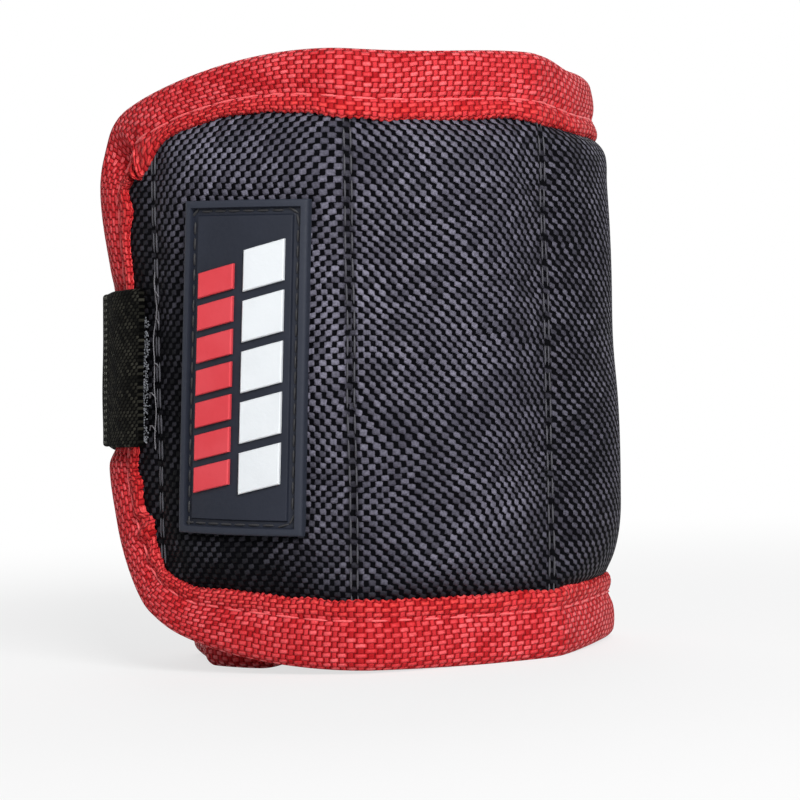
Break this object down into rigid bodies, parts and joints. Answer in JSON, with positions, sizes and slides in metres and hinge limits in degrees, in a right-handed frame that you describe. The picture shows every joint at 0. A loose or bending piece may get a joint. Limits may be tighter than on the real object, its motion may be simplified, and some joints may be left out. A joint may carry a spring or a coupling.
{
  "type": "magnetic wristband",
  "caption": "Padded cloth wristband with hidden disc magnets, red edge tape, a rubber patch and a hook-and-loop strap, bent into its worn ring.",
  "frame": {"origin": "middle of the base of the whole part, on the surface it stands on", "axes": "+Z runs along the forearm that wears it, the front with the rubber patch faces -Y, and the outer end lies towards -X"},
  "size_m": [0.0912, 0.0882, 0.1015],
  "materials": {
    "ballistic_weave": "coarse woven polyester with a slight sheen",
    "air_mesh": "knitted air mesh",
    "foam": "open-cell padding",
    "magnet": "nickel-plated disc",
    "edge_tape": "red woven edge tape",
    "strap_webbing": "ribbed webbing",
    "hook_tape": "hook tape",
    "loop_tape": "brushed loop tape",
    "moulded_rubber": "matt moulded rubber"
  },
  "bodies": {
    "panel_1": {"cover_1": "ballistic_weave", "lining_1": "air_mesh", "foam_1": "foam", "magnet_1_upper": "magnet", "magnet_1_lower": "magnet", "edge_tape_top_1": "edge_tape", "edge_tape_bottom_1": "edge_tape", "rubber_patch": "moulded_rubber"},
    "panel_2": {"cover_2": "ballistic_weave", "lining_2": "air_mesh", "foam_2": "foam", "magnet_2_upper": "magnet", "magnet_2_lower": "magnet", "edge_tape_top_2": "edge_tape", "edge_tape_bottom_2": "edge_tape"},
    "panel_3": {"cover_3": "ballistic_weave", "lining_3": "air_mesh", "foam_3": "foam", "magnet_3_upper": "magnet", "magnet_3_lower": "magnet", "edge_tape_top_3": "edge_tape", "edge_tape_bottom_3": "edge_tape"},
    "panel_4": {"cover_4": "ballistic_weave", "lining_4": "air_mesh", "foam_4": "foam", "magnet_4_upper": "magnet", "magnet_4_lower": "magnet", "edge_tape_top_4": "edge_tape", "edge_tape_bottom_4": "edge_tape"},
    "panel_5": {"cover_5": "ballistic_weave", "lining_5": "air_mesh", "foam_5": "foam", "magnet_5_upper": "magnet", "magnet_5_lower": "magnet", "edge_tape_top_5": "edge_tape", "edge_tape_bottom_5": "edge_tape", "loop_tape_5": "loop_tape"},
    "panel_6": {"cover_6": "ballistic_weave", "lining_6": "air_mesh", "foam_6": "foam", "magnet_6_upper": "magnet", "magnet_6_lower": "magnet", "edge_tape_top_6": "edge_tape", "edge_tape_bottom_6": "edge_tape", "loop_tape_6": "loop_tape"},
    "outer_end": {"cover_outer_end": "ballistic_weave", "lining_outer_end": "air_mesh", "edge_tape_outer_end": "edge_tape", "strap_root_webbing": "strap_webbing"},
    "tongue_1": {"cover_tongue_1": "ballistic_weave", "edge_tape_top_7": "edge_tape", "edge_tape_bottom_7": "edge_tape"},
    "tongue_2": {"cover_tongue_2": "ballistic_weave", "edge_tape_inner_end": "edge_tape"},
    "strap_bridge": {"strap_bridge_webbing": "strap_webbing"},
    "strap_middle": {"strap_middle_webbing": "strap_webbing", "hook_tape_middle": "hook_tape"},
    "strap_tip": {"strap_tip_webbing": "strap_webbing", "hook_tape_tip": "hook_tape"}
  },
  "joints": [
    {"name": "band_opening", "type": "hinge", "parent": "panel_3", "child": "panel_4", "pos_m": [0.04351, 0.00689, 0.0505], "axis": [0, 0, -1], "range_deg": [0, 56]},
    {"name": "seam_2_3", "type": "hinge", "parent": "panel_3", "child": "panel_2", "pos_m": [0.03279, -0.02617, 0.0505], "axis": [0, 0, 1], "range_deg": [0, 48.1]},
    {"name": "seam_1_2", "type": "hinge", "parent": "panel_2", "child": "panel_1", "pos_m": [0.00104, -0.04031, 0.0505], "axis": [0, 0, 1], "range_deg": [0, 48.1]},
    {"name": "outer_end_seam", "type": "hinge", "parent": "panel_1", "child": "outer_end", "pos_m": [-0.03076, -0.02622, 0.0505], "axis": [0, 0, 1], "range_deg": [0, 21.1]},
    {"name": "strap_root_bend", "type": "hinge", "parent": "outer_end", "child": "strap_bridge", "pos_m": [-0.04505, -0.0157, 0.0505], "axis": [0, 0, 1], "range_deg": [0, 54.1]},
    {"name": "strap_side_bend", "type": "hinge", "parent": "strap_bridge", "child": "strap_middle", "pos_m": [-0.04059, 0.01298, 0.0505], "axis": [0, 0, 1], "range_deg": [0, 31.1]},
    {"name": "seam_4_5", "type": "hinge", "parent": "panel_4", "child": "panel_5", "pos_m": [0.02213, 0.03428, 0.0505], "axis": [0, 0, -1], "range_deg": [0, 50.1]},
    {"name": "seam_5_6", "type": "hinge", "parent": "panel_5", "child": "panel_6", "pos_m": [-0.0126, 0.03549, 0.0505], "axis": [0, 0, -1], "range_deg": [0, 52.1]},
    {"name": "tongue_seam", "type": "hinge", "parent": "panel_6", "child": "tongue_1", "pos_m": [-0.03493, 0.00886, 0.0505], "axis": [0, 0, -1], "range_deg": [0, 55.1]},
    {"name": "tongue_fold", "type": "hinge", "parent": "tongue_1", "child": "tongue_2", "pos_m": [-0.028, -0.01705, 0.0505], "axis": [0, 0, -1], "range_deg": [0, 50.1]},
    {"name": "strap_tip_peel", "type": "hinge", "parent": "strap_middle", "child": "strap_tip", "pos_m": [-0.0154, 0.04177, 0.0505], "axis": [0, 0, 1], "range_deg": [0, 100]}
  ],
  "couplings": [
    {"joint": "seam_2_3", "follows": "band_opening", "ratio": 0.8571},
    {"joint": "seam_1_2", "follows": "band_opening", "ratio": 0.8571},
    {"joint": "outer_end_seam", "follows": "band_opening", "ratio": 0.375},
    {"joint": "strap_root_bend", "follows": "band_opening", "ratio": 0.9643},
    {"joint": "strap_side_bend", "follows": "band_opening", "ratio": 0.5536},
    {"joint": "seam_4_5", "follows": "band_opening", "ratio": 0.8929},
    {"joint": "seam_5_6", "follows": "band_opening", "ratio": 0.9286},
    {"joint": "tongue_seam", "follows": "band_opening", "ratio": 0.9821},
    {"joint": "tongue_fold", "follows": "band_opening", "ratio": 0.8929}
  ]
}
